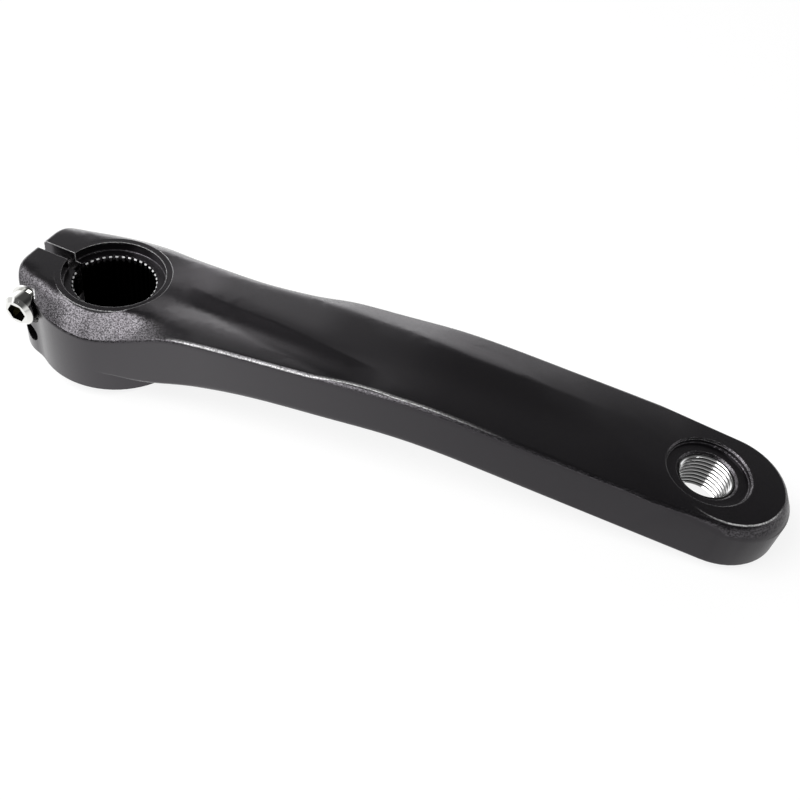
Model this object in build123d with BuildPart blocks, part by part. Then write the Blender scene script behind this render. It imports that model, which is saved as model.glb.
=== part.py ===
"""Left-hand bicycle crank arm with a pinch-clamped, splined spindle end.

Millimetres. The origin is on the spindle axis at the clamp's outer face, +Z points outboard along that axis
and +X runs from the spindle axis to the pedal axis.
"""
from build123d import *
from math import exp, log, radians, tan
import os

# Arm
CRANK_LENGTH = 170.0
PEDAL_FACE_HEIGHT = 14.0
ARM_ROOT_HALF_WIDTH = 17.2
EYE_RADIUS = 16.5
EYE_OVERHANG = 5.1
EYE_THICKNESS = 13.5
FRONT_EDGE_LEAN = 0.5
BACK_EDGE_LEAN = 1.5
TOP_EDGE_RADIUS = 1.1
UNDER_EDGE_RADIUS = 1.2

# Rise of the outer face from the clamp to the pedal eye
RISE_START = 14.0
RISE_END = 98.0
RISE_SOFTNESS = 5.0

# Underside, as (distance from the spindle axis, height)
UNDERSIDE_LINE = [(14.0, -18.4), (30.0, -14.9), (50.0, -8.7), (76.0, -3.7)]
UNDERSIDE_END = 116.0

# Spindle clamp
BOSS_RADIUS = 22.7
BOSS_HEIGHT = 24.8
BOSS_CHAMFER = 0.5
NOSE_PROJECTION = 2.4
NOSE_SETBACK = 4.5
NOSE_END_FLAT = 11.4
NOSE_ROOT_RADIUS = 12.5
FLARE_RADIUS = 110.0
SLIT_WIDTH = 3.4

# Splined spindle bore and the recess of its end cap
SPLINE_TEETH = 40
SPLINE_TIP_RADIUS = 11.5
SPLINE_ROOT_RADIUS = 12.2
TOOTH_GAP_AT_TIP = 1.05
TOOTH_GAP_AT_ROOT = 0.75
TOOTH_CHAMFER = 0.4
PILOT_RADIUS = 12.6
PILOT_DEPTH = 3.0
CAP_RECESS_RADIUS = 14.5
CAP_RECESS_DEPTH = 3.0
CAP_RECESS_CORNER = 0.4
COLLAR_RADIUS = 16.3

# Shoulders from the outer face down to the side walls: (x, distance of the upper line from the slit) and
# (x, slope)
SHOULDER_SOFTNESS = 0.7
FRONT_SHOULDER = [(-27, 9.6), (-20, 11.5), (-11, 14.3), (-3, 15.6), (5, 14.4), (12, 11.9), (20, 11.6),
                  (30, 12.0), (44, 13.0), (120, 14.0)]
FRONT_SLOPE = [(8, 0.75), (14, 0.62), (20, 0.42), (25, 0.28), (30, 0.19), (36, 0.10), (44, 0.05), (90, 0.03),
               (120, 0.0)]

# The back shoulder twists into a facet along the arm
BACK_SHOULDER = [(-27, 9.6), (-20, 11.4), (-11, 14.3), (-3, 15.9), (5, 16.9), (12, 17.1), (20, 16.9),
                 (27, 16.4), (34, 15.5), (42, 14.9), (56, 14.4), (64, 13.0), (73, 11.3), (84, 9.6),
                 (103, 7.7), (135, 7.0)]
BACK_SLOPE = [(10, 0.75), (28, 1.05), (50, 1.05), (56, 0.80), (62, 0.42), (70, 0.22), (85, 0.195),
              (100, 0.135), (114, 0.095), (129, 0.07), (143, 0.04), (165, 0.0)]

# Shallow valley that leaves the bore and fades along the outer face, as (x, y) and (x, depth)
VALLEY_LINE = [(12, -0.5), (28, -2.0), (42, -3.1), (60, -5.9), (76, -9.2)]
VALLEY_DEPTH = [(10, 0.0), (26, 0.75), (48, 0.75), (66, 0.45), (80, 0.15), (92, 0.0)]
VALLEY_SPREAD = 4.2

# Sections of the sculpted outer face
SECTION_START = -40.0
SECTION_STEP = 8.0
SECTION_HALF_WIDTH = 27.0
SECTION_POINTS = 31

# Pinch bolts
BOLT_SETBACK = 7.3
BOLT_SPACING = 10.0
SPOTFACE_DEPTH = 2.8
BOLT_DIAMETER = 6.0
BOLT_LENGTH = 26.0
BOLT_TIP_CHAMFER = 0.7
HEAD_DIAMETER = 9.2
HEAD_HEIGHT = 5.2
HEAD_CHAMFER = 1.1
HEX_ACROSS_FLATS = 5.0
HEX_DEPTH = 3.0
WASHER_DIAMETER = 10.6
WASHER_THICKNESS = 0.8
WASHER_CLEARANCE = 0.2
SHANK_CLEARANCE = 0.2
THREAD_CLEARANCE = 0.05
SPOTFACE_CLEARANCE = 0.25

# Pedal eye
PEDAL_THREAD_DIAMETER = 14.29
PEDAL_THREAD_CHAMFER = 0.6
EYE_RECESS_RADIUS = 10.5
EYE_RECESS_DEPTH = 1.5
EYE_RECESS_RIM = 0.4
EYE_RECESS_CORNER = 0.4

# Tapered crown round the top of the pedal eye, as (radius, height there, angle from upright)
CROWN_OFFSET = 4.5
CROWN_SPREAD = 4.5
CROWN_FACES = [(14.4, 14.0, 52.0), (15.2, 13.37, 30.0)]


def soft_ramp(value, softness):
    """Zero below zero and the value itself above, with a rounded corner."""
    ratio = value / softness
    return value if ratio > 40 else softness * log(1 + exp(ratio))


def along(x, stations):
    """Value at x on a smooth line through (x, value) stations."""
    if x <= stations[0][0]:
        return stations[0][1]
    if x >= stations[-1][0]:
        return stations[-1][1]
    i = max(k for k, (station, _) in enumerate(stations) if station <= x)
    (x0, v0), (x1, v1) = stations[i], stations[i + 1]
    before = stations[max(i - 1, 0)]
    after = stations[min(i + 2, len(stations) - 1)]
    start_slope = (x1 - x0) * (v1 - before[1]) / (x1 - before[0])
    end_slope = (x1 - x0) * (after[1] - v0) / (after[0] - x0)
    t = (x - x0) / (x1 - x0)
    value = v0 * (1 + 2 * t) * (1 - t) ** 2 + v1 * t * t * (3 - 2 * t)
    return value + start_slope * t * (1 - t) ** 2 - end_slope * t * t * (1 - t)


def outer_height(x, y):
    """Height of the sculpted outer face above the clamp's flat face."""
    grade = PEDAL_FACE_HEIGHT / (RISE_END - RISE_START)
    rise = grade * (soft_ramp(x - RISE_START, RISE_SOFTNESS) - soft_ramp(x - RISE_END, RISE_SOFTNESS))
    front = along(x, FRONT_SLOPE) * soft_ramp(-y - along(x, FRONT_SHOULDER), SHOULDER_SOFTNESS)
    back = along(x, BACK_SLOPE) * soft_ramp(y - along(x, BACK_SHOULDER), SHOULDER_SOFTNESS)
    valley = along(x, VALLEY_DEPTH) * exp(-(((y - along(x, VALLEY_LINE)) / VALLEY_SPREAD) ** 2))
    return rise - front - back - valley


os.makedirs("parts", exist_ok=True)

eye_end_x = CRANK_LENGTH + EYE_OVERHANG
section_count = 2 + int((eye_end_x + EYE_RADIUS - SECTION_START) / SECTION_STEP)
eye_seat = PEDAL_FACE_HEIGHT - EYE_RECESS_DEPTH
thread_radius = PEDAL_THREAD_DIAMETER / 2
eye_underside = PEDAL_FACE_HEIGHT - EYE_THICKNESS
washer_radius = WASHER_DIAMETER / 2
spotface_radius = washer_radius + SPOTFACE_CLEARANCE
shank_hole_radius = BOLT_DIAMETER / 2 + SHANK_CLEARANCE
thread_hole_radius = BOLT_DIAMETER / 2 + THREAD_CLEARANCE
nose_reach = BOSS_RADIUS + NOSE_PROJECTION
nose_half_width = BOSS_RADIUS - NOSE_SETBACK
nose_corner_radius = nose_half_width - NOSE_END_FLAT / 2
bolt_x = BOLT_SETBACK - nose_reach
bolt_seat = nose_half_width - SPOTFACE_DEPTH
front_bolt_level = (BOLT_SPACING - BOSS_HEIGHT) / 2
back_bolt_level = front_bolt_level - BOLT_SPACING

# Outline of the clamp alone: the round boss and the nose that carries the pinch bolts
with BuildSketch(Plane.XY.offset(-BOSS_HEIGHT)) as clamp_outline:
    Circle(BOSS_RADIUS)
    nose_length = nose_reach + BOSS_RADIUS / 4
    with Locations((nose_length / 2 - nose_reach, 0)):
        RectangleRounded(nose_length, 2 * nose_half_width, nose_corner_radius)
    nose_roots = clamp_outline.vertices().filter_by(lambda v: abs(v.Y) > nose_reach - nose_corner_radius)
    fillet(nose_roots, NOSE_ROOT_RADIUS)

# Outline of the whole arm, seen along the spindle
with BuildSketch(Plane.XY.offset(-BOSS_HEIGHT)) as arm_outline:
    add(clamp_outline.sketch)
    with BuildLine():
        eye_turn = 180 - FRONT_EDGE_LEAN - BACK_EDGE_LEAN
        eye_arc = CenterArc((eye_end_x, 0), EYE_RADIUS, FRONT_EDGE_LEAN - 90, eye_turn)
        back_edge = TangentArc(eye_arc @ 1, (0, ARM_ROOT_HALF_WIDTH), tangent=eye_arc % 1)
        front_edge = TangentArc(eye_arc @ 0, (0, -ARM_ROOT_HALF_WIDTH), tangent=-(eye_arc % 0))
        Line(back_edge @ 1, front_edge @ 1)
    make_face()
    fillet(arm_outline.vertices().filter_by(lambda v: 0 < v.X < BOSS_RADIUS), FLARE_RADIUS)

# Lower part of the spindle clamp, with a chamfered inner rim
with BuildPart() as boss:
    add(clamp_outline.sketch)
    extrude(amount=BOSS_HEIGHT + UNDERSIDE_LINE[0][1] + 2 * UNDER_EDGE_RADIUS)
    chamfer(boss.faces().sort_by(Axis.Z)[0].edges(), BOSS_CHAMFER)

# The arm: lofted outer face, trimmed to the outline and to the underside
with BuildPart() as crank_arm:
    for number in range(section_count):
        x = SECTION_START + SECTION_STEP * number
        with BuildSketch(Plane(origin=(x, 0, 0), x_dir=(0, 1, 0), z_dir=(1, 0, 0))):
            with BuildLine():
                pitch = 2 * SECTION_HALF_WIDTH / (SECTION_POINTS - 1)
                widths = [pitch * i - SECTION_HALF_WIDTH for i in range(SECTION_POINTS)]
                face_line = Spline(*[(y, outer_height(x, y)) for y in widths])
                Polyline(
                    face_line @ 1,
                    (SECTION_HALF_WIDTH, -2 * BOSS_HEIGHT),
                    (-SECTION_HALF_WIDTH, -2 * BOSS_HEIGHT),
                    face_line @ 0,
                )
            make_face()
    loft()
    add(arm_outline.sketch)
    extrude(amount=BOSS_HEIGHT + 2 * PEDAL_FACE_HEIGHT, mode=Mode.INTERSECT)
    outer_face = crank_arm.faces().filter_by(lambda f: f.normal_at().Z > 0.5).sort_by(SortBy.AREA)[-1]
    fillet(outer_face.edges(), TOP_EDGE_RADIUS)

    # Crown of the pedal eye, whose sides run out along the arm's edges
    for radius, height, angle in CROWN_FACES:
        with BuildPart(mode=Mode.PRIVATE) as crown:
            for level in (-2 * BOSS_HEIGHT, PEDAL_FACE_HEIGHT + TOP_EDGE_RADIUS):
                with BuildSketch(Plane.XY.offset(level)):
                    with BuildLine():
                        crown_radius = radius + (height - level) * tan(radians(angle))
                        crown_centre = (CRANK_LENGTH + CROWN_OFFSET, 0)
                        crown_turn = 180 - 2 * CROWN_SPREAD
                        bend = CenterArc(crown_centre, crown_radius, CROWN_SPREAD - 90, crown_turn)
                        back_side = Line(bend @ 1, bend @ 1 + 2 * CRANK_LENGTH * (bend % 1))
                        front_side = Line(bend @ 0, bend @ 0 - 2 * CRANK_LENGTH * (bend % 0))
                        Line(back_side @ 1, front_side @ 1)
                    make_face()
            loft(ruled=True)
        add(crown.part, mode=Mode.INTERSECT)

    # Underside of the arm
    with BuildSketch(Plane.XZ) as below:
        with BuildLine():
            shelf = Line((-2 * BOSS_RADIUS, UNDERSIDE_LINE[0][1]), UNDERSIDE_LINE[0])
            climb = Spline(*UNDERSIDE_LINE, (UNDERSIDE_END, eye_underside), tangents=[(1, 0), (1, 0)])
            level = Line(climb @ 1, (2 * eye_end_x, eye_underside))
            Polyline(
                level @ 1,
                (2 * eye_end_x, -2 * BOSS_HEIGHT),
                (-2 * BOSS_RADIUS, -2 * BOSS_HEIGHT),
                shelf @ 0,
            )
        make_face()
    extrude(amount=2 * BOSS_RADIUS, both=True, mode=Mode.SUBTRACT)
    underside = crank_arm.faces().filter_by(lambda f: f.normal_at().Z < -0.5)
    lower_edges = underside.edges().filter_by(lambda e: abs(e.center().Y) > 1 or e.center().X > CRANK_LENGTH)
    fillet(lower_edges, UNDER_EDGE_RADIUS)

    # Lower boss and nose, and the collar round the cap recess
    add(boss.part)
    with Locations((0, 0, -CAP_RECESS_DEPTH)):
        Cylinder(COLLAR_RADIUS, 2 * CAP_RECESS_DEPTH, align=(Align.CENTER, Align.CENTER, Align.CENTER))
    with BuildSketch():
        Circle(COLLAR_RADIUS)
    extrude(amount=PEDAL_FACE_HEIGHT, mode=Mode.SUBTRACT)

    # Cap recess, splined bore, pilot and slit
    with BuildSketch(Plane.XZ):
        with BuildLine():
            corner_centre = (CAP_RECESS_RADIUS - CAP_RECESS_CORNER, CAP_RECESS_CORNER - CAP_RECESS_DEPTH)
            corner = CenterArc(corner_centre, CAP_RECESS_CORNER, 0, -90)
            Polyline(
                corner @ 1,
                (SPLINE_TIP_RADIUS + TOOTH_CHAMFER, -CAP_RECESS_DEPTH),
                (SPLINE_TIP_RADIUS, -CAP_RECESS_DEPTH - TOOTH_CHAMFER),
                (0, -CAP_RECESS_DEPTH - TOOTH_CHAMFER),
                (0, 0),
                (CAP_RECESS_RADIUS, 0),
                corner @ 0,
            )
        make_face()
    revolve(axis=Axis.Z, mode=Mode.SUBTRACT)
    with BuildSketch(Plane.XY.offset(-CAP_RECESS_DEPTH)):
        Circle(SPLINE_TIP_RADIUS)
        with PolarLocations(0, SPLINE_TEETH):
            Polygon(
                (SPLINE_TIP_RADIUS - TOOTH_GAP_AT_TIP, -TOOTH_GAP_AT_TIP / 2),
                (SPLINE_TIP_RADIUS, -TOOTH_GAP_AT_TIP / 2),
                (SPLINE_ROOT_RADIUS, -TOOTH_GAP_AT_ROOT / 2),
                (SPLINE_ROOT_RADIUS, TOOTH_GAP_AT_ROOT / 2),
                (SPLINE_TIP_RADIUS, TOOTH_GAP_AT_TIP / 2),
                (SPLINE_TIP_RADIUS - TOOTH_GAP_AT_TIP, TOOTH_GAP_AT_TIP / 2),
                align=None,
            )
    extrude(amount=-BOSS_HEIGHT, mode=Mode.SUBTRACT)
    with Locations((0, 0, -BOSS_HEIGHT)):
        Cylinder(
            PILOT_RADIUS,
            PILOT_DEPTH,
            align=(Align.CENTER, Align.CENTER, Align.MIN),
            mode=Mode.SUBTRACT,
        )
        Box(
            2 * nose_reach,
            SLIT_WIDTH,
            3 * BOSS_HEIGHT,
            align=(Align.MAX, Align.CENTER, Align.CENTER),
            mode=Mode.SUBTRACT,
        )

    # Pinch bolt holes: clearance in the ear under the head, thread in the other ear
    for level, side in ((front_bolt_level, -1), (back_bolt_level, 1)):
        with Locations(Plane(origin=(bolt_x, 0, level), x_dir=(1, 0, 0), z_dir=(0, side, 0))):
            Cylinder(
                shank_hole_radius,
                nose_reach,
                align=(Align.CENTER, Align.CENTER, Align.MIN),
                mode=Mode.SUBTRACT,
            )
            Cylinder(
                thread_hole_radius,
                nose_reach,
                align=(Align.CENTER, Align.CENTER, Align.MAX),
                mode=Mode.SUBTRACT,
            )
        with Locations(Plane(origin=(bolt_x, side * bolt_seat, level), x_dir=(1, 0, 0), z_dir=(0, side, 0))):
            Cylinder(
                spotface_radius,
                nose_reach,
                align=(Align.CENTER, Align.CENTER, Align.MIN),
                mode=Mode.SUBTRACT,
            )

    # Pedal eye: recessed seat and threaded hole with a chamfer at each mouth
    with BuildSketch(Plane.XZ.move(Location((CRANK_LENGTH, 0, 0)))):
        with BuildLine():
            corner_centre = (EYE_RECESS_RADIUS - EYE_RECESS_CORNER, eye_seat + EYE_RECESS_CORNER)
            corner = CenterArc(corner_centre, EYE_RECESS_CORNER, 0, -90)
            Polyline(
                corner @ 1,
                (thread_radius + PEDAL_THREAD_CHAMFER, eye_seat),
                (thread_radius, eye_seat - PEDAL_THREAD_CHAMFER),
                (thread_radius, eye_underside + PEDAL_THREAD_CHAMFER),
                (thread_radius + PEDAL_THREAD_CHAMFER, eye_underside),
                (thread_radius + PEDAL_THREAD_CHAMFER, -BOSS_HEIGHT),
                (0, -BOSS_HEIGHT),
                (0, 2 * PEDAL_FACE_HEIGHT),
                (EYE_RECESS_RADIUS + 2 * EYE_RECESS_RIM, 2 * PEDAL_FACE_HEIGHT),
                (EYE_RECESS_RADIUS + 2 * EYE_RECESS_RIM, PEDAL_FACE_HEIGHT + EYE_RECESS_RIM),
                (EYE_RECESS_RADIUS, PEDAL_FACE_HEIGHT - EYE_RECESS_RIM),
                corner @ 0,
            )
        make_face()
    revolve(axis=Axis((CRANK_LENGTH, 0, 0), (0, 0, 1)), mode=Mode.SUBTRACT)
crank_arm.part.label = "crank_arm"
export_step(crank_arm.part, "parts/crank_arm.step")


# One pinch bolt and its washer, with the head on the side that "side" points to
for name, level, side in (("front", front_bolt_level, -1), ("back", back_bolt_level, 1)):
    seat = Plane(origin=(bolt_x, side * bolt_seat, level), x_dir=(1, 0, 0), z_dir=(0, side, 0))
    with BuildPart() as washer:
        with BuildSketch(seat):
            Circle(washer_radius)
            Circle(BOLT_DIAMETER / 2 + WASHER_CLEARANCE, mode=Mode.SUBTRACT)
        extrude(amount=WASHER_THICKNESS)
    washer.part.label = f"{name}_washer"
    export_step(washer.part, f"parts/{name}_washer.step")

    with BuildPart() as pinch_bolt:
        with BuildSketch(seat.offset(WASHER_THICKNESS)):
            Circle(HEAD_DIAMETER / 2)
        extrude(amount=HEAD_HEIGHT)
        head_rim = pinch_bolt.edges().sort_by(Axis.Y)[0 if side < 0 else -1]
        chamfer(head_rim, HEAD_CHAMFER)
        with BuildSketch(seat.offset(WASHER_THICKNESS)):
            Circle(BOLT_DIAMETER / 2)
        extrude(amount=-BOLT_LENGTH)
        tip_rim = pinch_bolt.edges().sort_by(Axis.Y)[-1 if side < 0 else 0]
        chamfer(tip_rim, BOLT_TIP_CHAMFER)
        with BuildSketch(seat.offset(WASHER_THICKNESS + HEAD_HEIGHT)):
            RegularPolygon(HEX_ACROSS_FLATS / 2, 6, major_radius=False)
        extrude(amount=-HEX_DEPTH, mode=Mode.SUBTRACT)
    pinch_bolt.part.label = f"{name}_pinch_bolt"
    export_step(pinch_bolt.part, f"parts/{name}_pinch_bolt.step")
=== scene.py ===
"""A left-hand bicycle crank arm on a white table, dressed and lit as a product photograph."""

from __future__ import annotations

import logging
import math
from dataclasses import dataclass
from enum import Enum

import bpy
from mathutils import Matrix, Vector


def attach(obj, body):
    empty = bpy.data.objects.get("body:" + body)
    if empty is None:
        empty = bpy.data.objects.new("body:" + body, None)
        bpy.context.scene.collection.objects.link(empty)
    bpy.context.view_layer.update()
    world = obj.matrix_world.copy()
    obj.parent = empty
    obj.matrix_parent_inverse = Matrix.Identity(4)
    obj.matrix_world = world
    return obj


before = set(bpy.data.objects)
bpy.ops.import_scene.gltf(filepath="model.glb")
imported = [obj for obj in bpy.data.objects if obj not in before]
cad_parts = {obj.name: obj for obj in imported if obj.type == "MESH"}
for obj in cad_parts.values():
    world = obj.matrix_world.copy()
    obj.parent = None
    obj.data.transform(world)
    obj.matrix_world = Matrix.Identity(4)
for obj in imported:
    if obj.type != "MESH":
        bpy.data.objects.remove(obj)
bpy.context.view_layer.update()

LOG = logging.getLogger("crank_arm")
MM = 0.001
PEDAL_AXIS_X = 170.0 * MM

Colour = tuple[float, float, float]
Point = tuple[float, float, float]
Span = tuple[float, float]
Socket = bpy.types.NodeSocket


class Slot(Enum):
    """A material slot of the record, which nothing in this script uses."""

    BRIGHT_STEEL = "bright_steel"


class MixKind(Enum):
    """What a Mix node mixes, with the places of its two inputs and of its output."""

    VECTOR = (4, 5, 1)
    RGBA = (6, 7, 2)


def span_mm(low: float, high: float) -> Span:
    """Turns two measures in millimetres into metres."""
    return low * MM, high * MM


def deselect_all() -> None:
    """Leaves object mode with nothing selected."""
    if bpy.context.object and bpy.context.object.mode != "OBJECT":
        bpy.ops.object.mode_set(mode="OBJECT")
    bpy.ops.object.select_all(action="DESELECT")


class NodeSheet:
    """Short-hand for building a node tree."""

    def __init__(self, tree: bpy.types.NodeTree) -> None:
        """Starts on a tree.

        Args:
            tree: The node tree to build in.
        """
        self.tree = tree

    def node(self, kind: str, **settings: object) -> bpy.types.Node:
        """Adds a node.

        Args:
            kind: The node's type name.
            settings: Attributes to set on it.

        Returns:
            The new node.
        """
        made = self.tree.nodes.new(kind)
        for key, value in settings.items():
            setattr(made, key, value)
        return made

    def link(self, source: Socket, target: Socket) -> None:
        """Joins two sockets."""
        self.tree.links.new(source, target)

    def feed(self, target: Socket, value: object) -> None:
        """Gives a socket what it takes, either another socket or a constant."""
        if isinstance(value, Socket):
            self.link(value, target)
        else:
            target.default_value = value

    def math(self, operation: str, *values: Socket | float) -> Socket:
        """Adds a Math node.

        Args:
            operation: The node's operation.
            values: Its inputs, each a socket or a constant.

        Returns:
            The result.
        """
        made = self.node("ShaderNodeMath", operation=operation)
        for target, value in zip(made.inputs, values):
            self.feed(target, value)
        return made.outputs[0]

    def times(self, product: Socket, *factors: Socket | float) -> Socket:
        """Multiplies any number of values and returns the product."""
        for factor in factors:
            product = self.math("MULTIPLY", product, factor)
        return product

    def ramp(self, value: Socket, low: float, high: float, start: float, end: float) -> Socket:
        """Eases from one value to another.

        Args:
            value: What the easing follows.
            low: Where it starts.
            high: Where it ends.
            start: Value at the start.
            end: Value at the end.

        Returns:
            The eased value.
        """
        ease = self.node("ShaderNodeMapRange", interpolation_type="SMOOTHSTEP")
        limits = {"From Min": low, "From Max": high, "To Min": start, "To Max": end}
        for name, number in limits.items():
            ease.inputs[name].default_value = number
        self.link(value, ease.inputs["Value"])
        return ease.outputs["Result"]

    def window(self, value: Socket, rise: Span, fall: Span) -> Socket:
        """Eases from zero up to one and down again.

        Args:
            value: What the easing follows.
            rise: Where it rises.
            fall: Where it falls.

        Returns:
            The eased value.
        """
        return self.times(self.ramp(value, *rise, 0.0, 1.0), self.ramp(value, *fall, 1.0, 0.0))

    def within(self, value: Socket, limits: Span) -> Socket:
        """Gives one between two limits and zero outside them."""
        above = self.math("GREATER_THAN", value, limits[0])
        return self.times(above, self.math("LESS_THAN", value, limits[1]))

    def axes(self, vector: Socket) -> tuple[Socket, Socket, Socket]:
        """Splits a vector into its three components."""
        split = self.node("ShaderNodeSeparateXYZ")
        self.link(vector, split.inputs[0])
        return tuple(split.outputs)

    def reach(self, first: Socket, second: Socket, centre: Span = (0.0, 0.0)) -> Socket:
        """Measures the distance from an axis.

        Args:
            first: Distance along one direction across the axis.
            second: Distance along the other direction.
            centre: Where the axis stands.

        Returns:
            The distance.
        """
        squares = [
            self.math("POWER", self.math("SUBTRACT", value, middle), 2.0)
            for value, middle in zip((first, second), centre)
        ]
        return self.math("SQRT", self.math("ADD", *squares))

    def bevel(self, radius: float, samples: int) -> Socket:
        """Rounds the edges and returns the direction that the surface then faces."""
        rounded = self.node("ShaderNodeBevel", samples=samples)
        rounded.inputs["Radius"].default_value = radius
        return rounded.outputs["Normal"]

    def mix(self, share: Socket, first: Socket | Colour, second: Socket | Colour,
            kind: MixKind = MixKind.RGBA) -> Socket:
        """Mixes two colours or two vectors.

        Args:
            share: How much of the second shows.
            first: The first, as a socket or as a colour's three numbers.
            second: The second, likewise.
            kind: What is mixed.

        Returns:
            The mixture.
        """
        mixed = self.node("ShaderNodeMix", data_type=kind.name)
        self.link(share, mixed.inputs["Factor"])
        *inputs, result = kind.value
        for index, value in zip(inputs, (first, second)):
            self.feed(mixed.inputs[index], value if isinstance(value, Socket) else (*value, 1.0))
        return mixed.outputs[result]


class MaterialSheet(NodeSheet):
    """A sheet for one material, with the coordinates of the place that is shaded."""

    def __init__(self, name: str) -> None:
        """Starts a material with a Principled shader.

        Args:
            name: The material's name.
        """
        self.material = bpy.data.materials.new(name)
        self.material.use_nodes = True
        super().__init__(self.material.node_tree)
        self.shader = self.tree.nodes["Principled BSDF"]
        self.place = self.node("ShaderNodeTexCoord").outputs["Object"]
        self.x, self.y, self.z = self.axes(self.place)

    def shade(self, **values: object) -> None:
        """Sets the shader's inputs, with underscores for the spaces in their names."""
        for key, value in values.items():
            self.feed(self.shader.inputs[key.replace("_", " ")], value)


@dataclass(frozen=True)
class Grain:
    """The blasted grain: strong on sloping faces, faint on level ones and absent on walls."""

    size: float = 0.42 * MM
    height: float = 0.03 * MM
    detail: float = 2.0
    roughness: float = 0.6
    slope: Span = (0.30, 0.60)
    level: Span = (0.93, 0.98)
    level_share: float = 0.15
    sheen_heights: Span = (0.36, 0.64)
    sheen: Span = (-0.30, 0.42)
    sparkle_heights: Span = (0.40, 0.60)
    sparkle: Span = (0.35, 1.0)

    def noise(self, sheet: MaterialSheet) -> Socket:
        """Draws the grain and returns its height."""
        noise = sheet.node("ShaderNodeTexNoise")
        noise.inputs["Scale"].default_value = 1.0 / self.size
        noise.inputs["Detail"].default_value = self.detail
        noise.inputs["Roughness"].default_value = self.roughness
        sheet.link(sheet.place, noise.inputs["Vector"])
        return noise.outputs["Fac"]

    def strength(self, sheet: MaterialSheet) -> Socket:
        """Finds how strong the grain is from the way that the surface faces."""
        facing = sheet.axes(sheet.node("ShaderNodeNewGeometry").outputs["Normal"])[2]
        sloping = sheet.ramp(facing, *self.slope, 0.0, 1.0)
        return sheet.times(sloping, sheet.ramp(facing, *self.level, 1.0, self.level_share))


@dataclass(frozen=True)
class Rounding:
    """The rounded edges of the forging, broader along the arm's front edge."""

    radius: float = 0.25 * MM
    samples: int = 4
    front_radius: float = 2.0 * MM
    front_samples: int = 8
    front_side: Span = span_mm(-14.0, -12.5)
    front_start: Span = span_mm(28.0, 42.0)
    front_end: Span = span_mm(128.0, 146.0)

    def fine(self, sheet: MaterialSheet) -> Socket:
        """Rounds every edge alike and returns the direction that the surface faces."""
        return sheet.bevel(self.radius, self.samples)

    def direction(self, sheet: MaterialSheet) -> Socket:
        """Rounds the front edge more broadly and returns the direction that the surface faces."""
        front = sheet.times(
            sheet.ramp(sheet.y, *self.front_side, 1.0, 0.0),
            sheet.window(sheet.x, self.front_start, self.front_end),
        )
        broad = sheet.bevel(self.front_radius, self.front_samples)
        return sheet.mix(front, self.fine(sheet), broad, MixKind.VECTOR)


@dataclass(frozen=True)
class Hollow:
    """The shallow hollow that leaves the bore and runs slantwise to the front edge."""

    slant: float = 0.247
    offset: float = 8.15 * MM
    widening: Span = span_mm(28.0, 58.0)
    half_width: Span = span_mm(2.8, 4.7)
    back_blur: float = 0.6 * MM
    front_blur: float = 1.5 * MM
    start: Span = span_mm(20.0, 30.0)
    end: Span = span_mm(76.0, 88.0)
    tilt: float = -0.11

    def lean(self, sheet: MaterialSheet) -> Socket:
        """Returns how far the surface leans in the hollow."""
        slanted = sheet.math("ADD", sheet.y, sheet.times(sheet.x, self.slant))
        aside = sheet.math("SUBTRACT", slanted, self.offset)
        half = sheet.ramp(sheet.x, *self.widening, *self.half_width)
        from_back = sheet.math("SUBTRACT", aside, half)
        from_front = sheet.math("ADD", aside, half)
        return sheet.times(
            sheet.ramp(from_back, -self.back_blur, self.back_blur, 1.0, 0.0),
            sheet.ramp(from_front, -self.front_blur, self.front_blur, 0.0, 1.0),
            sheet.window(sheet.x, self.start, self.end),
            self.tilt,
        )


@dataclass(frozen=True)
class Crease:
    """The crease between the outer face and the long facet behind it."""

    slant: float = 0.137
    offset: float = 21.7 * MM
    least: float = 7.3 * MM
    start: Span = span_mm(60.0, 72.0)
    end: Span = span_mm(120.0, 150.0)
    face_tilt: float = -0.045
    face_blur: Span = span_mm(-0.8, 0.3)
    face_reach: Span = span_mm(-9.0, 2.0)
    facet_tilt: float = 0.03
    facet_blur: Span = span_mm(-0.3, 0.8)

    def lean(self, sheet: MaterialSheet) -> Socket:
        """Returns how far the surface leans on each side of the crease, to sharpen it."""
        line = sheet.math("SUBTRACT", self.offset, sheet.times(sheet.x, self.slant))
        beyond = sheet.math("SUBTRACT", sheet.y, sheet.math("MAXIMUM", line, self.least))
        face = sheet.times(
            sheet.ramp(beyond, *self.face_blur, self.face_tilt, 0.0),
            sheet.ramp(sheet.y, *self.face_reach, 0.0, 1.0),
        )
        facet = sheet.ramp(beyond, *self.facet_blur, 0.0, self.facet_tilt)
        ends = sheet.window(sheet.x, self.start, self.end)
        return sheet.times(sheet.math("ADD", face, facet), ends)


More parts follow.
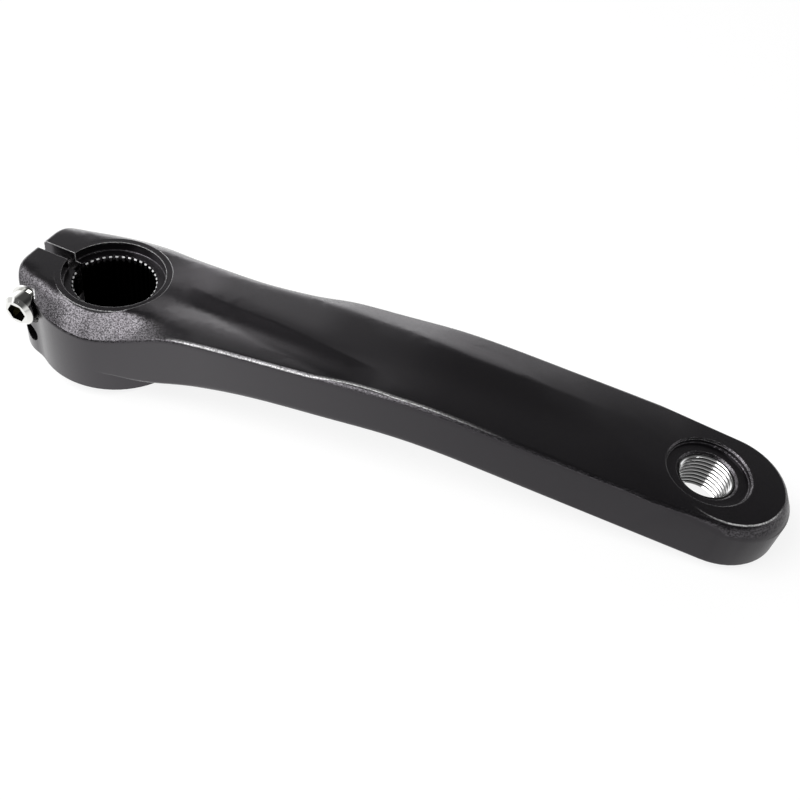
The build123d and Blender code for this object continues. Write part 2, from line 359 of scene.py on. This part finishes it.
@dataclass(frozen=True)
class PaintedGlints:
    """Painted highlights and glints, with a little edge wear: sharp corners lightened, with
    painted glints where they face the front, and painted highlight lines along the arm's front
    edge and the front of the eye's crown.
    """

    # colour of the painted highlights and glints
    colour: Colour = (0.92, 0.92, 0.92)
    lowest: float = -3.2 * MM
    corner_depth: float = 0.38 * MM
    corner_samples: int = 8
    corner_cover: Span = (0.62, 0.90)
    corner_facing: Span = (-0.35, 0.0)
    corner_share: Span = (1.0, 0.07)
    edge_bend: Span = span_mm(68.0, 82.0)
    edge_y: Span = span_mm(-16.72, -15.60)
    edge_return: Span = span_mm(86.0, 94.0)
    edge_return_y: float = -0.45 * MM
    edge_start: Span = span_mm(26.0, 34.0)
    edge_end: Span = span_mm(88.0, 126.0)
    core_width: Span = span_mm(0.10, 0.26)
    halo_rise: Span = span_mm(-0.2, 0.0)
    halo_fall: Span = span_mm(0.2, 1.0)
    halo_share: float = 0.36
    crown_centre: Span = span_mm(174.5, 0.0)
    crown_radius: float = 14.3 * MM
    crown_width: Span = span_mm(0.10, 0.30)
    crown_share: float = 0.8
    crown_side: Span = span_mm(-9.0, -1.0)
    crown_start: Span = span_mm(168.0, 180.0)

    def corners(self, sheet: MaterialSheet, rounded: Socket) -> Socket:
        """Finds the sharp corners for a little edge wear, and paints glints on those that face the
        front.

        Args:
            sheet: The material's sheet.
            rounded: Direction that the surface faces with its edges rounded.

        Returns:
            How much painted glint and wear each place gets.
        """
        cover = sheet.node(
            "ShaderNodeAmbientOcclusion", samples=self.corner_samples, inside=True, only_local=True
        )
        cover.inputs["Distance"].default_value = self.corner_depth
        facing = sheet.axes(rounded)[1]
        return sheet.times(
            sheet.ramp(cover.outputs["AO"], *self.corner_cover, 1.0, 0.0),
            sheet.ramp(facing, *self.corner_facing, *self.corner_share),
        )

    def front_edge(self, sheet: MaterialSheet) -> Socket:
        """Paints a highlight line along the arm's front edge, with a painted glow that fades over
        the outer face.

        Args:
            sheet: The material's sheet.

        Returns:
            How much painted highlight each place gets.
        """
        line = sheet.math(
            "ADD",
            sheet.ramp(sheet.x, *self.edge_bend, *self.edge_y),
            sheet.ramp(sheet.x, *self.edge_return, 0.0, self.edge_return_y),
        )
        aside = sheet.math("SUBTRACT", sheet.y, line)
        core = sheet.ramp(sheet.math("ABSOLUTE", aside), *self.core_width, 1.0, 0.0)
        halo = sheet.times(
            sheet.ramp(aside, *self.halo_fall, self.halo_share, 0.0),
            sheet.ramp(aside, *self.halo_rise, 0.0, 1.0),
        )
        ends = sheet.window(sheet.x, self.edge_start, self.edge_end)
        return sheet.times(sheet.math("MAXIMUM", core, halo), ends)

    def crown(self, sheet: MaterialSheet) -> Socket:
        """Paints a highlight line along the front of the crown round the pedal eye.

        Args:
            sheet: The material's sheet.

        Returns:
            How much painted highlight each place gets.
        """
        reach = sheet.reach(sheet.x, sheet.y, self.crown_centre)
        aside = sheet.math("ABSOLUTE", sheet.math("SUBTRACT", reach, self.crown_radius))
        part = sheet.times(
            sheet.ramp(sheet.y, *self.crown_side, 1.0, 0.0),
            sheet.ramp(sheet.x, *self.crown_start, 0.0, 1.0),
        )
        return sheet.times(sheet.ramp(aside, *self.crown_width, self.crown_share, 0.0), part)

    def share(self, sheet: MaterialSheet, rounded: Socket) -> Socket:
        """Joins all the painted highlights, glints and edge wear.

        Args:
            sheet: The material's sheet.
            rounded: Direction that the surface faces with its edges rounded.

        Returns:
            How much painted highlight, glint and wear each place gets.
        """
        lines = sheet.math("MAXIMUM", self.front_edge(sheet), self.crown(sheet))
        glint_share = sheet.math("MAXIMUM", self.corners(sheet, rounded), lines)
        return sheet.times(glint_share, sheet.math("GREATER_THAN", sheet.z, self.lowest))


@dataclass(frozen=True)
class ToothedBore:
    """The spindle bore, with painted shade darkening its depth and painted glints on the tooth
    tips at its mouth.
    """

    radius: float = 12.9 * MM
    shade_fading: Span = span_mm(-5.0, -3.4)
    painted_shade_colour: Colour = (0.001, 0.001, 0.001)
    tip_radii: Span = span_mm(11.45, 11.82)
    tip_levels: Span = span_mm(-3.4, -2.95)
    # colour of the painted glints on the tooth tips
    tip_glint_colour: Colour = (0.85, 0.85, 0.85)

    def beside(self, sheet: MaterialSheet) -> Socket:
        """Gives one beside the bore and zero above and in it."""
        return sheet.math("GREATER_THAN", sheet.reach(sheet.x, sheet.y), self.radius)

    def outside(self, sheet: MaterialSheet) -> Socket:
        """Gives one outside the bore and fades to zero in its depth, where shade is painted."""
        mouth = sheet.ramp(sheet.z, *self.shade_fading, 0.0, 1.0)
        return sheet.math("MAXIMUM", mouth, self.beside(sheet))

    def tips(self, sheet: MaterialSheet) -> Socket:
        """Gives one on the tooth tips at the mouth, where glints are painted, and zero elsewhere.
        """
        ring = sheet.within(sheet.reach(sheet.x, sheet.y), self.tip_radii)
        return sheet.times(ring, sheet.within(sheet.z, self.tip_levels))


@dataclass(frozen=True)
class BlastedAnodising:
    """Satin black anodising over a blasted forging, with a fine sparkling grain."""

    colour: Colour = (0.0032, 0.0028, 0.0034)
    tint: Colour = (0.98, 0.93, 1.0)
    roughness: float = 0.24
    ior: float = 1.62
    sheen: float = 0.5
    # painted highlight: the reflection is raised in a patch between the clamp and the hollow
    highlight_patch_centre: Span = span_mm(20.0, 9.0)
    highlight_patch_reach: Span = span_mm(4.0, 14.0)
    highlight_patch_sheen: float = 0.45
    grain: Grain = Grain()
    rounding: Rounding = Rounding()
    hollow: Hollow = Hollow()
    crease: Crease = Crease()
    painted_glints: PaintedGlints = PaintedGlints()
    bore: ToothedBore = ToothedBore()

    def relief(self, sheet: MaterialSheet) -> Socket:
        """Rounds the edges and leans the surface where the forging is hollowed or creased.

        Args:
            sheet: The material's sheet.

        Returns:
            The direction that the surface faces.
        """
        lean = sheet.node("ShaderNodeCombineXYZ")
        tilt = sheet.math("ADD", self.hollow.lean(sheet), self.crease.lean(sheet))
        sheet.link(tilt, lean.inputs["Y"])
        leant = sheet.node("ShaderNodeVectorMath", operation="ADD")
        sheet.link(self.rounding.direction(sheet), leant.inputs[0])
        sheet.link(lean.outputs[0], leant.inputs[1])
        unit = sheet.node("ShaderNodeVectorMath", operation="NORMALIZE")
        sheet.link(leant.outputs[0], unit.inputs[0])
        return unit.outputs[0]

    def paint(self, sheet: MaterialSheet, grain: Socket, outside: Socket) -> Socket:
        """Colours the arm black, with painted highlights, glints and a little wear on its edges,
        painted glints on the tooth tips and painted shade in the bore.

        Args:
            sheet: The material's sheet.
            grain: Height of the grain.
            outside: One outside the bore.

        Returns:
            The colour.
        """
        # painted highlights and glints along the edges, broken up by the grain
        glint_share = sheet.times(
            self.painted_glints.share(sheet, self.rounding.fine(sheet)),
            self.bore.beside(sheet),
            sheet.ramp(grain, *self.grain.sparkle_heights, *self.grain.sparkle),
        )
        surface = sheet.mix(glint_share, self.colour, self.painted_glints.colour)
        # painted glints on the tooth tips
        surface = sheet.mix(self.bore.tips(sheet), surface, self.bore.tip_glint_colour)
        # painted shade: the bore's depth is coloured near-black
        return sheet.mix(outside, self.bore.painted_shade_colour, surface)

    def gloss(self, sheet: MaterialSheet, grain: Socket, strength: Socket,
              outside: Socket) -> Socket:
        """Makes the grain glitter, paints a highlight on the patch between the clamp and the
        hollow by raising its reflection there, and takes the reflection out of the bore's depth as
        painted shade.

        Args:
            sheet: The material's sheet.
            grain: Height of the grain.
            strength: How strong the grain is.
            outside: One outside the bore.

        Returns:
            How strongly the surface mirrors.
        """
        glitter = sheet.ramp(grain, *self.grain.sheen_heights, *self.grain.sheen)
        away = sheet.reach(sheet.x, sheet.y, self.highlight_patch_centre)
        painted_patch = sheet.times(sheet.ramp(away, *self.highlight_patch_reach, 1.0, 0.0), self.highlight_patch_sheen)
        grained = sheet.math("ADD", sheet.times(glitter, strength), self.sheen)
        # the reflection fades out in the bore's depth too, as painted shade
        return sheet.times(sheet.math("ADD", painted_patch, grained), outside)

    def make(self) -> bpy.types.Material:
        """Builds the material.

        Returns:
            The finished material.
        """
        sheet = MaterialSheet("blasted_black_anodising")
        grain = self.grain.noise(sheet)
        strength = self.grain.strength(sheet)
        outside = self.bore.outside(sheet)
        bump = sheet.node("ShaderNodeBump")
        bump.inputs["Distance"].default_value = self.grain.height
        sheet.link(strength, bump.inputs["Strength"])
        sheet.link(grain, bump.inputs["Height"])
        sheet.link(self.relief(sheet), bump.inputs["Normal"])
        sheet.shade(
            Base_Color=self.paint(sheet, grain, outside),
            Roughness=self.roughness,
            IOR=self.ior,
            Specular_IOR_Level=self.gloss(sheet, grain, strength, outside),
            Specular_Tint=(*self.tint, 1.0),
            Normal=bump.outputs["Normal"],
        )
        return sheet.material


@dataclass(frozen=True)
class BrightPlating:
    """Bright plated steel of the pinch bolts and washers, with painted shade inside the hexagon
    sockets.
    """

    colour: Colour = (0.66, 0.66, 0.64)
    socket_shade_colour: Colour = (0.10, 0.095, 0.07)
    roughness: float = 0.09
    axis_x: float = -17.8 * MM
    middle_level: float = -12.4 * MM
    half_spacing: float = 5.0 * MM
    socket_radius: float = 2.95 * MM
    socket_depths: Span = span_mm(18.3, 21.35)

    def make(self) -> bpy.types.Material:
        """Builds the material.

        Returns:
            The finished material.
        """
        sheet = MaterialSheet("bright_plating")
        level = sheet.math("ABSOLUTE", sheet.math("SUBTRACT", sheet.z, self.middle_level))
        reach = sheet.reach(sheet.x, level, (self.axis_x, self.half_spacing))
        inside = sheet.times(
            sheet.within(sheet.math("ABSOLUTE", sheet.y), self.socket_depths),
            sheet.math("LESS_THAN", reach, self.socket_radius),
        )
        sheet.shade(
            # painted shade inside the hexagon sockets
            Base_Color=sheet.mix(inside, self.colour, self.socket_shade_colour),
            Roughness=self.roughness,
            Metallic=1.0,
        )
        return sheet.material


@dataclass(frozen=True)
class CutAluminium:
    """Freshly cut aluminium of the pedal thread, bright on the crests, with painted shade
    darkening the roots.
    """

    crest_colour: Colour = (0.92, 0.92, 0.92)
    root_shade_colour: Colour = (0.05, 0.05, 0.05)
    roughness: float = 0.14
    axis: Span = (PEDAL_AXIS_X, 0.0)
    root_shading: Span = span_mm(6.62, 6.92)

    def make(self) -> bpy.types.Material:
        """Builds the material.

        Returns:
            The finished material.
        """
        sheet = MaterialSheet("cut_aluminium")
        reach = sheet.reach(sheet.x, sheet.y, self.axis)
        depth = sheet.ramp(reach, *self.root_shading, 0.0, 1.0)
        sheet.shade(
            # painted shade in the thread's roots
            Base_Color=sheet.mix(depth, self.crest_colour, self.root_shade_colour),
            Roughness=self.roughness,
            Metallic=1.0,
        )
        return sheet.material


def smooth_group(limit: float) -> bpy.types.NodeTree:
    """Makes a node group that shades smooth and keeps the edges above an angle sharp.

    Args:
        limit: The angle in degrees.

    Returns:
        The node group.
    """
    tree = bpy.data.node_groups.new("smooth_by_angle", "GeometryNodeTree")
    for side in ("INPUT", "OUTPUT"):
        tree.interface.new_socket("Geometry", in_out=side, socket_type="NodeSocketGeometry")
    sheet = NodeSheet(tree)
    entry = sheet.node("NodeGroupInput")
    leave = sheet.node("NodeGroupOutput")
    smooth = sheet.node("GeometryNodeSetShadeSmooth")
    sharp = sheet.node("GeometryNodeSetShadeSmooth", domain="EDGE")
    sharp.inputs["Shade Smooth"].default_value = False
    bend = sheet.node("GeometryNodeInputMeshEdgeAngle")
    above = sheet.node("FunctionNodeCompare", data_type="FLOAT", operation="GREATER_THAN")
    above.inputs["B"].default_value = math.radians(limit)
    sheet.link(entry.outputs["Geometry"], smooth.inputs["Geometry"])
    sheet.link(smooth.outputs["Geometry"], sharp.inputs["Geometry"])
    sheet.link(bend.outputs["Unsigned Angle"], above.inputs["A"])
    sheet.link(above.outputs["Result"], sharp.inputs["Selection"])
    sheet.link(sharp.outputs["Geometry"], leave.inputs["Geometry"])
    return tree


def dress_node(name: str, finish: bpy.types.Material, weld: float, smooth_angle: float) -> None:
    """Puts a finish on a CAD node and smooths its shading with modifiers.

    Args:
        name: The CAD node.
        finish: Its material.
        weld: Largest distance at which the mesh's loose corners are joined, in metres.
        smooth_angle: Angle above which an edge stays sharp, in degrees.
    """
    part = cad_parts[name]
    part.data.materials.clear()
    part.data.materials.append(finish)
    joined = part.modifiers.new("joined", "WELD")
    joined.merge_threshold = weld
    smoothed = part.modifiers.new("smoothed", "NODES")
    smoothed.node_group = smooth_group(smooth_angle)
    weighted = part.modifiers.new("weighted", "WEIGHTED_NORMAL")
    weighted.keep_sharp = True
    LOG.info("%s dressed with %s", name, finish.name)


@dataclass
class Forging:
    """The forged arm as the CAD makes it, smoothed and dressed."""

    node: str = "crank_arm"
    weld: float = 0.004 * MM
    smooth_angle: float = 32.0

    def dress(self, finish: bpy.types.Material) -> None:
        """Gives the arm its finish and smooth shading.

        Args:
            finish: The arm's material.
        """
        dress_node(self.node, finish, self.weld, self.smooth_angle)


@dataclass
class Fasteners:
    """The two pinch bolts and their washers."""

    nodes: tuple[str, ...] = ("front_pinch_bolt", "back_pinch_bolt", "front_washer", "back_washer")
    weld: float = 0.004 * MM
    smooth_angle: float = 30.0

    def dress(self, finish: bpy.types.Material) -> None:
        """Gives each fastener its finish.

        Args:
            finish: The fasteners' material.
        """
        for name in self.nodes:
            dress_node(name, finish, self.weld, self.smooth_angle)


@dataclass
class PedalThread:
    """The left-hand thread cut in the pedal eye."""

    axis_x: float = PEDAL_AXIS_X
    sleeve_radius: float = 7.13 * MM
    root_radius: float = 7.06 * MM
    crest_radius: float = 6.47 * MM
    pitch: float = 1.27 * MM
    flats_in_pitch: float = 8.0
    top: float = 11.95 * MM
    bottom: float = 1.05 * MM
    turns_below: int = 2
    spare_turns: int = 3
    steps: int = 72
    smooth_angle: float = 25.0
    tiny: float = 1e-7
    seam: float = 1e-6

    def profile(self) -> bpy.types.Object:
        """Draws one pitch of the thread as a chain of edges below the hole.

        Returns:
            The object that holds the chain.
        """
        deselect_all()
        bpy.ops.mesh.primitive_plane_add(size=1.0, location=(0.0, 0.0, 0.0))
        thread = bpy.context.object
        thread.name = "pedal_thread"
        bpy.ops.object.mode_set(mode="EDIT")
        bpy.ops.mesh.select_all(action="SELECT")
        bpy.ops.mesh.merge(type="CENTER")
        flat = self.pitch / self.flats_in_pitch
        flank = (self.pitch - 2.0 * flat) / 2.0
        depth = self.root_radius - self.crest_radius
        start = self.bottom - self.turns_below * self.pitch
        bpy.ops.transform.translate(value=(self.root_radius, 0.0, start))
        for outward, upward in ((0.0, flat), (-depth, flank), (0.0, flat), (depth, flank)):
            step = {"value": (outward, 0.0, upward)}
            bpy.ops.mesh.extrude_region_move(TRANSFORM_OT_translate=step)
        bpy.ops.object.mode_set(mode="OBJECT")
        return thread

    def wind(self, thread: bpy.types.Object) -> None:
        """Screws the profile up the hole and trims it level at both mouths.

        Args:
            thread: The object that holds the profile.
        """
        turns = thread.modifiers.new("turns", "SCREW")
        turns.axis = "Z"
        turns.angle = -2.0 * math.pi
        turns.screw_offset = self.pitch
        turns.iterations = math.ceil((self.top - self.bottom) / self.pitch) + self.spare_turns
        turns.steps = self.steps
        turns.render_steps = self.steps
        bpy.ops.object.modifier_apply(modifier=turns.name)
        bpy.ops.object.mode_set(mode="EDIT")
        bpy.ops.mesh.select_all(action="SELECT")
        bpy.ops.mesh.remove_doubles(threshold=self.seam)
        for level, outward in ((self.top, 1.0), (self.bottom, -1.0)):
            bpy.ops.mesh.select_all(action="SELECT")
            bpy.ops.mesh.bisect(
                plane_co=(0.0, 0.0, level),
                plane_no=(0.0, 0.0, outward),
                clear_outer=True,
                threshold=self.tiny,
            )
        bpy.ops.object.mode_set(mode="OBJECT")

    def close(self, thread: bpy.types.Object) -> None:
        """Closes the ridged wall into a sleeve with a round outside.

        Args:
            thread: The trimmed thread.
        """
        bpy.ops.object.mode_set(mode="EDIT")
        bpy.ops.mesh.select_mode(type="EDGE")
        bpy.ops.mesh.select_all(action="DESELECT")
        bpy.ops.mesh.select_non_manifold(
            use_wire=False,
            use_boundary=True,
            use_multi_face=False,
            use_non_contiguous=False,
            use_verts=False,
        )
        bpy.ops.mesh.extrude_region_move()
        bpy.ops.object.mode_set(mode="OBJECT")
        for corner in thread.data.vertices:
            if corner.select:
                stretch = self.sleeve_radius / math.hypot(corner.co.x, corner.co.y)
                corner.co.x *= stretch
                corner.co.y *= stretch
        bpy.ops.object.mode_set(mode="EDIT")
        bpy.ops.mesh.bridge_edge_loops()
        bpy.ops.mesh.select_all(action="SELECT")
        bpy.ops.mesh.remove_doubles(threshold=self.tiny)
        bpy.ops.mesh.normals_make_consistent(inside=False)
        bpy.ops.transform.translate(value=(self.axis_x, 0.0, 0.0))
        bpy.ops.object.mode_set(mode="OBJECT")

    def build(self, finish: bpy.types.Material) -> None:
        """Makes the thread and fixes it in the pedal eye.

        Args:
            finish: The thread's material.
        """
        thread = self.profile()
        self.wind(thread)
        self.close(thread)
        bpy.ops.object.shade_smooth_by_angle(angle=math.radians(self.smooth_angle))
        thread.data.materials.clear()
        thread.data.materials.append(finish)
        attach(thread, "root")
        LOG.info("%s built", thread.name)


@dataclass
class Table:
    """The white table that the arm lies on, touching it under the clamp and the pedal eye."""

    clamp_x: float = 22.2 * MM
    clamp_z: float = -24.82 * MM
    eye_x: float = 190.57 * MM
    eye_z: float = 0.49 * MM
    size: float = 8.0
    colour: Colour = (0.92, 0.92, 0.92)
    roughness: float = 0.6
    whiteness: float = 0.8
    glow: float = 1.08
    painted_reflection_reach: Span = span_mm(-70.0, 130.0)
    painted_reflection: Span = (1.45, 0.65)

    def build(self) -> None:
        """Adds the table as a stage piece."""
        deselect_all()
        slope = math.atan2(self.eye_z - self.clamp_z, self.eye_x - self.clamp_x)
        bpy.ops.mesh.primitive_plane_add(
            size=self.size, location=(self.clamp_x, 0.0, self.clamp_z), rotation=(0.0, -slope, 0.0)
        )
        table = bpy.context.object
        table.name = "table"
        sheet = MaterialSheet("white_table")
        sheet.shade(Base_Color=(*self.colour, 1.0), Roughness=self.roughness)
        self.whiten(sheet)
        table.data.materials.append(sheet.material)

    def whiten(self, sheet: MaterialSheet) -> None:
        """Lifts the table to white where it is seen or mirrored, and keeps a part of the shadow.
        What the arm mirrors of it glows brighter towards -x and dimmer towards +x, a painted
        reflection.

        Args:
            sheet: The table's sheet.
        """
        rays = sheet.node("ShaderNodeLightPath").outputs
        direct = sheet.times(rays["Is Camera Ray"], self.glow)
        # painted reflection: the glow that glossy rays see falls off along x
        painted_reflection = sheet.ramp(sheet.x, *self.painted_reflection_reach, *self.painted_reflection)
        mirrored = sheet.times(rays["Is Glossy Ray"], painted_reflection)
        glow = sheet.node("ShaderNodeEmission")
        sheet.link(sheet.math("ADD", mirrored, direct), glow.inputs["Strength"])
        seen = sheet.math("ADD", rays["Is Camera Ray"], rays["Is Glossy Ray"])
        blend = sheet.node("ShaderNodeMixShader")
        sheet.link(sheet.times(seen, self.whiteness), blend.inputs["Fac"])
        sheet.link(sheet.shader.outputs["BSDF"], blend.inputs[1])
        sheet.link(glow.outputs["Emission"], blend.inputs[2])
        output = sheet.tree.nodes["Material Output"]
        sheet.link(blend.outputs["Shader"], output.inputs["Surface"])


@dataclass(frozen=True)
class Viewpoint:
    """The place and the lens that the photograph was taken with."""

    azimuth: float = 14.4987
    elevation: float = 45.4142
    roll: float = 11.6903
    position: Point = (0.1361269, -0.1783293, 0.1828759)
    focal_pixels: float = 965.0634
    frame_pixels: float = 800.0
    sensor: float = 36.0
    nearest: float = 0.01

    def build(self) -> None:
        """Places the camera."""
        turn, lift, roll = (math.radians(v) for v in (self.azimuth, self.elevation, self.roll))
        right = Vector((math.cos(turn), math.sin(turn), 0.0))
        level = math.cos(lift)
        back = Vector((math.sin(turn) * level, -math.cos(turn) * level, math.sin(lift)))
        up = back.cross(right)
        across = math.cos(roll) * right + math.sin(roll) * up
        upward = math.cos(roll) * up - math.sin(roll) * right
        pose = Matrix((across, upward, back)).transposed().to_4x4()
        pose.translation = Vector(self.position)
        bpy.ops.object.camera_add()
        camera = bpy.context.object
        camera.matrix_world = pose
        camera.data.sensor_width = self.sensor
        camera.data.lens = self.focal_pixels / self.frame_pixels * self.sensor
        camera.data.clip_start = self.nearest
        bpy.context.scene.camera = camera


@dataclass(frozen=True)
class Room:
    """The dark room round the table, pale round the horizon and on the left."""

    colour: Colour = (1.0, 1.0, 1.0)
    turning: Span = (0.0, 0.45)
    front_height: Span = (0.22, 0.50)
    front_level: Span = (1.0, 0.12)
    back_height: Span = (0.10, 0.72)
    back_level: Span = (2.2, 0.08)
    back_right: Span = (0.0, 0.35)
    back_right_share: Span = (1.0, 0.5)
    side_reach: Span = (-0.80, -0.60)
    side_level: Span = (2.0, 0.0)
    side_height: Span = (0.25, 0.45)
    side_turning: Span = (0.10, 0.30)

    def build(self) -> None:
        """Fills the world with the room."""
        world = bpy.data.worlds.new("room")
        bpy.context.scene.world = world
        world.use_nodes = True
        sheet = NodeSheet(world.node_tree)
        x, y, z = sheet.axes(sheet.node("ShaderNodeTexCoord").outputs["Generated"])
        front = sheet.times(
            sheet.ramp(z, *self.front_height, *self.front_level),
            sheet.ramp(y, *self.turning, 1.0, 0.0),
        )
        back = sheet.times(
            sheet.ramp(z, *self.back_height, *self.back_level),
            sheet.ramp(y, *self.turning, 0.0, 1.0),
            sheet.ramp(x, *self.back_right, *self.back_right_share),
        )
        side = sheet.times(
            sheet.ramp(x, *self.side_reach, *self.side_level),
            sheet.ramp(z, *self.side_height, 0.0, 1.0),
            sheet.ramp(y, *self.side_turning, 1.0, 0.0),
        )
        background = sheet.tree.nodes["Background"]
        background.inputs["Color"].default_value = (*self.colour, 1.0)
        level = sheet.math("ADD", sheet.math("ADD", front, back), side)
        sheet.link(level, background.inputs["Strength"])


@dataclass(frozen=True)
class Softbox:
    """An oblong lamp that faces the arm's middle."""

    name: str = "key_softbox"
    middle: Point = (0.085, 0.0, 0.0)
    toward: Point = (-0.50, -0.34, 0.80)
    distance: float = 0.7
    size: Span = (0.56, 0.34)
    power: float = 3.3

    def build(self) -> None:
        """Adds the lamp."""
        middle = Vector(self.middle)
        place = middle + Vector(self.toward).normalized() * self.distance
        bpy.ops.object.light_add(type="AREA", location=place)
        lamp = bpy.context.object
        lamp.name = self.name
        lamp.data.shape = "RECTANGLE"
        lamp.data.size, lamp.data.size_y = self.size
        lamp.data.energy = self.power
        lamp.rotation_euler = (middle - place).to_track_quat("-Z", "Y").to_euler()


@dataclass
class Studio:
    """The camera, the room round the table and the lamp."""

    viewpoint: Viewpoint = Viewpoint()
    room: Room = Room()
    key: Softbox = Softbox()

    def build(self) -> None:
        """Sets up the camera, the room, the lamp and the picture's tones."""
        self.viewpoint.build()
        self.room.build()
        self.key.build()
        bpy.context.scene.view_settings.view_transform = "Standard"


def main() -> None:
    """Dresses the arm, adds the thread and lights the scene."""
    logging.basicConfig(level=logging.INFO, format="%(name)s: %(message)s")
    Forging().dress(BlastedAnodising().make())
    Fasteners().dress(BrightPlating().make())
    PedalThread().build(CutAluminium().make())
    Table().build()
    Studio().build()


if __name__ == "__main__":
    main()
